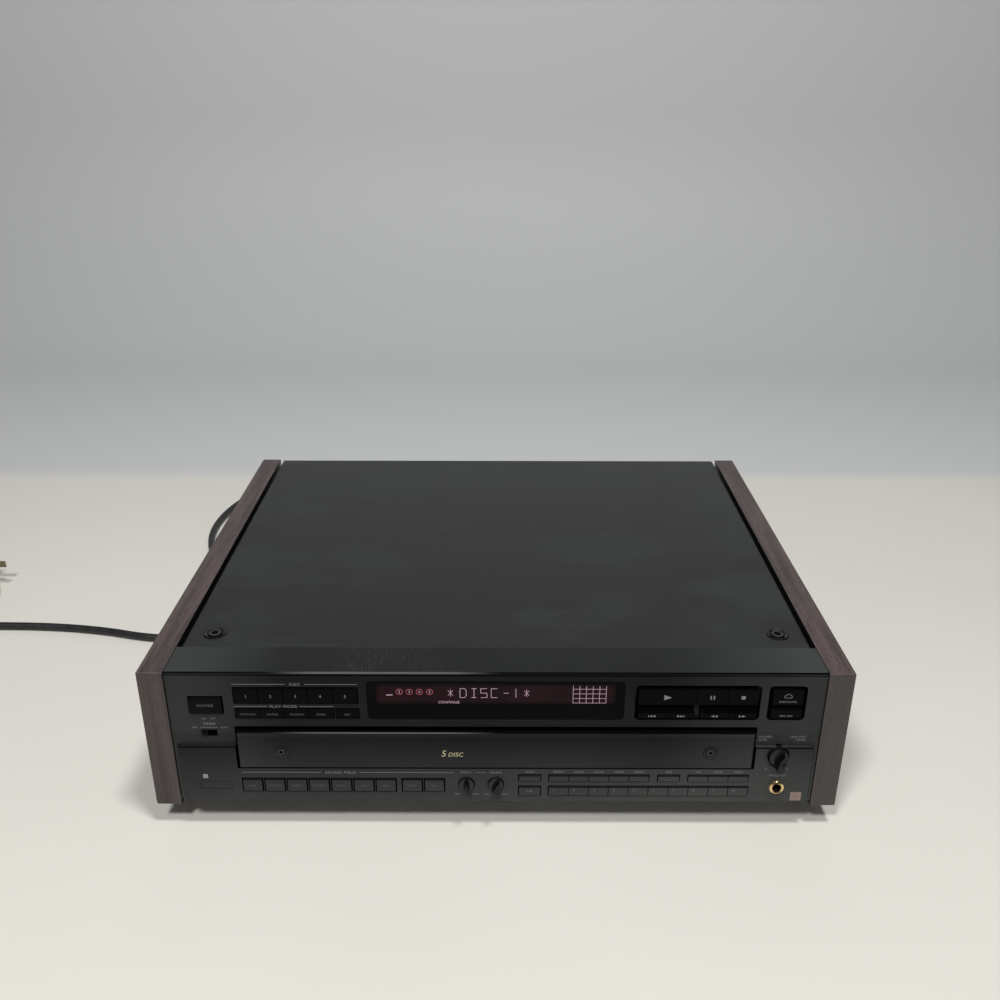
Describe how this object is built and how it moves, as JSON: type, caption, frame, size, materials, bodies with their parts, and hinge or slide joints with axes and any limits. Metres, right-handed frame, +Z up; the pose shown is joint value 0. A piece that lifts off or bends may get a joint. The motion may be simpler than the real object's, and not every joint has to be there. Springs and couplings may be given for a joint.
{
  "type": "multi disc cd changer",
  "caption": "Front-loading carousel disc player with dark metal case, wood side panels, sliding drawer with rotating disc table, keys, pointer knobs and a mains cord.",
  "frame": {"origin": "middle of the footprint of the object without its cord, on the surface it stands on", "axes": "+X to the right seen from the front, +Y to the back, +Z up; drawer closed"},
  "size_m": [0.8294, 0.6106, 0.125],
  "materials": {
    "cover_paint": "dark satin paint",
    "zinc_steel": "zinc-plated sheet",
    "rear_paint": "black satin paint",
    "side_wood": "dark red-brown satin veneer",
    "bezel_finish": "charcoal satin with fine brushing",
    "fascia_finish": "charcoal satin",
    "smoked_lens": "smoked gloss acrylic",
    "tube_glass": "clear glass over dark grid",
    "board_laminate": "paper laminate",
    "black_bolts": "black oxide",
    "gold_plate": "polished gold plate",
    "foot_plastic": "black moulded",
    "mechanism_plastic": "dark grey moulded",
    "table_plastic": "black moulded",
    "gear_plastic": "natural acetal",
    "motor_steel": "plated steel",
    "pickup_metal": "die-cast",
    "belt_rubber": "black rubber",
    "cord_rubber": "black vinyl",
    "knob_plastic": "charcoal satin",
    "key_plastic": "blue-black satin"
  },
  "bodies": {
    "chassis": {"case_bolts": "black_bolts", "chassis_base": "zinc_steel", "clamper_bridge": "zinc_steel", "cord_coil": "cord_rubber", "cord_gland": "cord_rubber", "cord_tube": "cord_rubber", "display_tube": "tube_glass", "display_window": "smoked_lens", "feet": "foot_plastic", "front_bezel": "bezel_finish", "front_board": "board_laminate", "headphone_jack": "gold_plate", "left_wood_panel": "side_wood", "loading_belt": "belt_rubber", "loading_motor": "motor_steel", "lower_fascia": "fascia_finish", "main_board": "board_laminate", "mains_plug": "cord_rubber", "mechanism_frame": "mechanism_plastic", "rear_jacks": "gold_plate", "rear_panel": "rear_paint", "right_wood_panel": "side_wood", "top_cover": "cover_paint", "transformer": "zinc_steel"},
    "drawer": {"drawer_tray": "mechanism_plastic", "drawer_front": "bezel_finish", "drawer_bolts": "bezel_finish", "table_motor": "motor_steel", "table_spindle": "table_plastic"},
    "table": {"carousel_table": "table_plastic"},
    "table_pinion": {"table_pinion": "gear_plastic"},
    "loading_gear": {"loading_gear": "gear_plastic"},
    "motor_pulley": {"motor_pulley": "gear_plastic"},
    "pickup": {"pickup_base": "mechanism_plastic", "sled_rods": "motor_steel"},
    "sled": {"laser_pickup": "pickup_metal"},
    "turntable": {"disc_turntable": "gear_plastic"},
    "clamper": {"clamper_puck": "mechanism_plastic"},
    "power": {"power_button": "knob_plastic"},
    "timer": {"timer_slider": "knob_plastic"},
    "level": {"level_knob": "knob_plastic"},
    "effect": {"effect_knob": "knob_plastic"},
    "reverb": {"reverb_knob": "knob_plastic"},
    "mode": {"mode_keys": "knob_plastic"},
    "sound_field": {"sound_field_keys": "knob_plastic"},
    "program": {"program_keys": "knob_plastic"},
    "play": {"play_key": "key_plastic"},
    "pause": {"pause_key": "key_plastic"},
    "stop": {"stop_key": "key_plastic"},
    "previous": {"previous_key": "key_plastic"},
    "next": {"next_key": "key_plastic"},
    "rewind": {"rewind_key": "key_plastic"},
    "forward": {"forward_key": "key_plastic"},
    "open_close": {"open_close_key": "key_plastic"},
    "disc_skip": {"disc_skip_key": "key_plastic"},
    "disc_1": {"disc_key_1": "key_plastic"},
    "disc_2": {"disc_key_2": "key_plastic"},
    "disc_3": {"disc_key_3": "key_plastic"},
    "disc_4": {"disc_key_4": "key_plastic"},
    "disc_5": {"disc_key_5": "key_plastic"}
  },
  "joints": [
    {"name": "drawer_slide", "type": "slide", "parent": "chassis", "child": "drawer", "axis": [0, -1, 0], "range_m": [0, 0.235]},
    {"name": "table_turn", "type": "hinge", "parent": "drawer", "child": "table", "pos_m": [0, -0.0103, 0.068], "axis": [0, 0, 1], "continuous": true},
    {"name": "table_pinion_turn", "type": "hinge", "parent": "drawer", "child": "table_pinion", "pos_m": [-0.13482, 0.10283, 0.062], "axis": [0, 0, 1], "continuous": true},
    {"name": "loading_gear_turn", "type": "hinge", "parent": "chassis", "child": "loading_gear", "pos_m": [0.118, -0.1468, 0.052], "axis": [0, 0, 1], "continuous": true},
    {"name": "motor_pulley_turn", "type": "hinge", "parent": "chassis", "child": "motor_pulley", "pos_m": [0.058, -0.1468, 0.043], "axis": [0, 0, 1], "continuous": true},
    {"name": "pickup_lift", "type": "hinge", "parent": "chassis", "child": "pickup", "pos_m": [0, 0.1727, 0.0415], "axis": [-1, 0, 0], "range_deg": [0, 3.5]},
    {"name": "sled_travel", "type": "slide", "parent": "pickup", "child": "sled", "axis": [0, 1, 0], "range_m": [0, 0.033]},
    {"name": "turntable_spin", "type": "hinge", "parent": "pickup", "child": "turntable", "pos_m": [0, 0.0932, 0.05], "axis": [0, 0, 1], "continuous": true},
    {"name": "clamper_spin", "type": "hinge", "parent": "chassis", "child": "clamper", "pos_m": [0, 0.0932, 0.082], "axis": [0, 0, 1], "continuous": true},
    {"name": "power_press", "type": "slide", "parent": "chassis", "child": "power", "axis": [0, 1, 0], "range_m": [0, 0.0025], "stiffness_N_per_m": 500, "springref_m": -0.001},
    {"name": "timer_switch", "type": "slide", "parent": "chassis", "child": "timer", "axis": [1, 0, 0], "range_m": [0, 0.0056]},
    {"name": "mode_press", "type": "slide", "parent": "chassis", "child": "mode", "axis": [0, 1, 0], "range_m": [0, 0.0008], "stiffness_N_per_m": 1500, "springref_m": -0.001},
    {"name": "sound_field_press", "type": "slide", "parent": "chassis", "child": "sound_field", "axis": [0, 1, 0], "range_m": [0, 0.0008], "stiffness_N_per_m": 1500, "springref_m": -0.001},
    {"name": "program_press", "type": "slide", "parent": "chassis", "child": "program", "axis": [0, 1, 0], "range_m": [0, 0.0008], "stiffness_N_per_m": 1500, "springref_m": -0.001},
    {"name": "play_press", "type": "slide", "parent": "chassis", "child": "play", "axis": [0, 1, 0], "range_m": [0, 0.0008], "stiffness_N_per_m": 500, "springref_m": -0.001},
    {"name": "pause_press", "type": "slide", "parent": "chassis", "child": "pause", "axis": [0, 1, 0], "range_m": [0, 0.0008], "stiffness_N_per_m": 500, "springref_m": -0.001},
    {"name": "stop_press", "type": "slide", "parent": "chassis", "child": "stop", "axis": [0, 1, 0], "range_m": [0, 0.0008], "stiffness_N_per_m": 500, "springref_m": -0.001},
    {"name": "previous_press", "type": "slide", "parent": "chassis", "child": "previous", "axis": [0, 1, 0], "range_m": [0, 0.0008], "stiffness_N_per_m": 500, "springref_m": -0.001},
    {"name": "next_press", "type": "slide", "parent": "chassis", "child": "next", "axis": [0, 1, 0], "range_m": [0, 0.0008], "stiffness_N_per_m": 500, "springref_m": -0.001},
    {"name": "rewind_press", "type": "slide", "parent": "chassis", "child": "rewind", "axis": [0, 1, 0], "range_m": [0, 0.0008], "stiffness_N_per_m": 500, "springref_m": -0.001},
    {"name": "forward_press", "type": "slide", "parent": "chassis", "child": "forward", "axis": [0, 1, 0], "range_m": [0, 0.0008], "stiffness_N_per_m": 500, "springref_m": -0.001},
    {"name": "open_close_press", "type": "slide", "parent": "chassis", "child": "open_close", "axis": [0, 1, 0], "range_m": [0, 0.0008], "stiffness_N_per_m": 500, "springref_m": -0.001},
    {"name": "disc_skip_press", "type": "slide", "parent": "chassis", "child": "disc_skip", "axis": [0, 1, 0], "range_m": [0, 0.0008], "stiffness_N_per_m": 500, "springref_m": -0.001},
    {"name": "disc_1_press", "type": "slide", "parent": "chassis", "child": "disc_1", "axis": [0, 1, 0], "range_m": [0, 0.0008], "stiffness_N_per_m": 500, "springref_m": -0.001},
    {"name": "disc_2_press", "type": "slide", "parent": "chassis", "child": "disc_2", "axis": [0, 1, 0], "range_m": [0, 0.0008], "stiffness_N_per_m": 500, "springref_m": -0.001},
    {"name": "disc_3_press", "type": "slide", "parent": "chassis", "child": "disc_3", "axis": [0, 1, 0], "range_m": [0, 0.0008], "stiffness_N_per_m": 500, "springref_m": -0.001},
    {"name": "disc_4_press", "type": "slide", "parent": "chassis", "child": "disc_4", "axis": [0, 1, 0], "range_m": [0, 0.0008], "stiffness_N_per_m": 500, "springref_m": -0.001},
    {"name": "disc_5_press", "type": "slide", "parent": "chassis", "child": "disc_5", "axis": [0, 1, 0], "range_m": [0, 0.0008], "stiffness_N_per_m": 500, "springref_m": -0.001},
    {"name": "level_turn", "type": "hinge", "parent": "chassis", "child": "level", "pos_m": [0.1906, -0.1908, 0.0605], "axis": [0, 1, 0], "range_deg": [-170, 130]},
    {"name": "effect_turn", "type": "hinge", "parent": "chassis", "child": "effect", "pos_m": [-0.02, -0.1908, 0.0374], "axis": [0, 1, 0], "range_deg": [-150, 150]},
    {"name": "reverb_turn", "type": "hinge", "parent": "chassis", "child": "reverb", "pos_m": [0, -0.1908, 0.0374], "axis": [0, 1, 0], "range_deg": [-172, 128]}
  ],
  "couplings": [
    {"joint": "table_pinion_turn", "follows": "table_turn", "ratio": -13.667},
    {"joint": "loading_gear_turn", "follows": "drawer_slide", "rad_per_m": 83.333},
    {"joint": "motor_pulley_turn", "follows": "drawer_slide", "rad_per_m": 333.33}
  ]
}
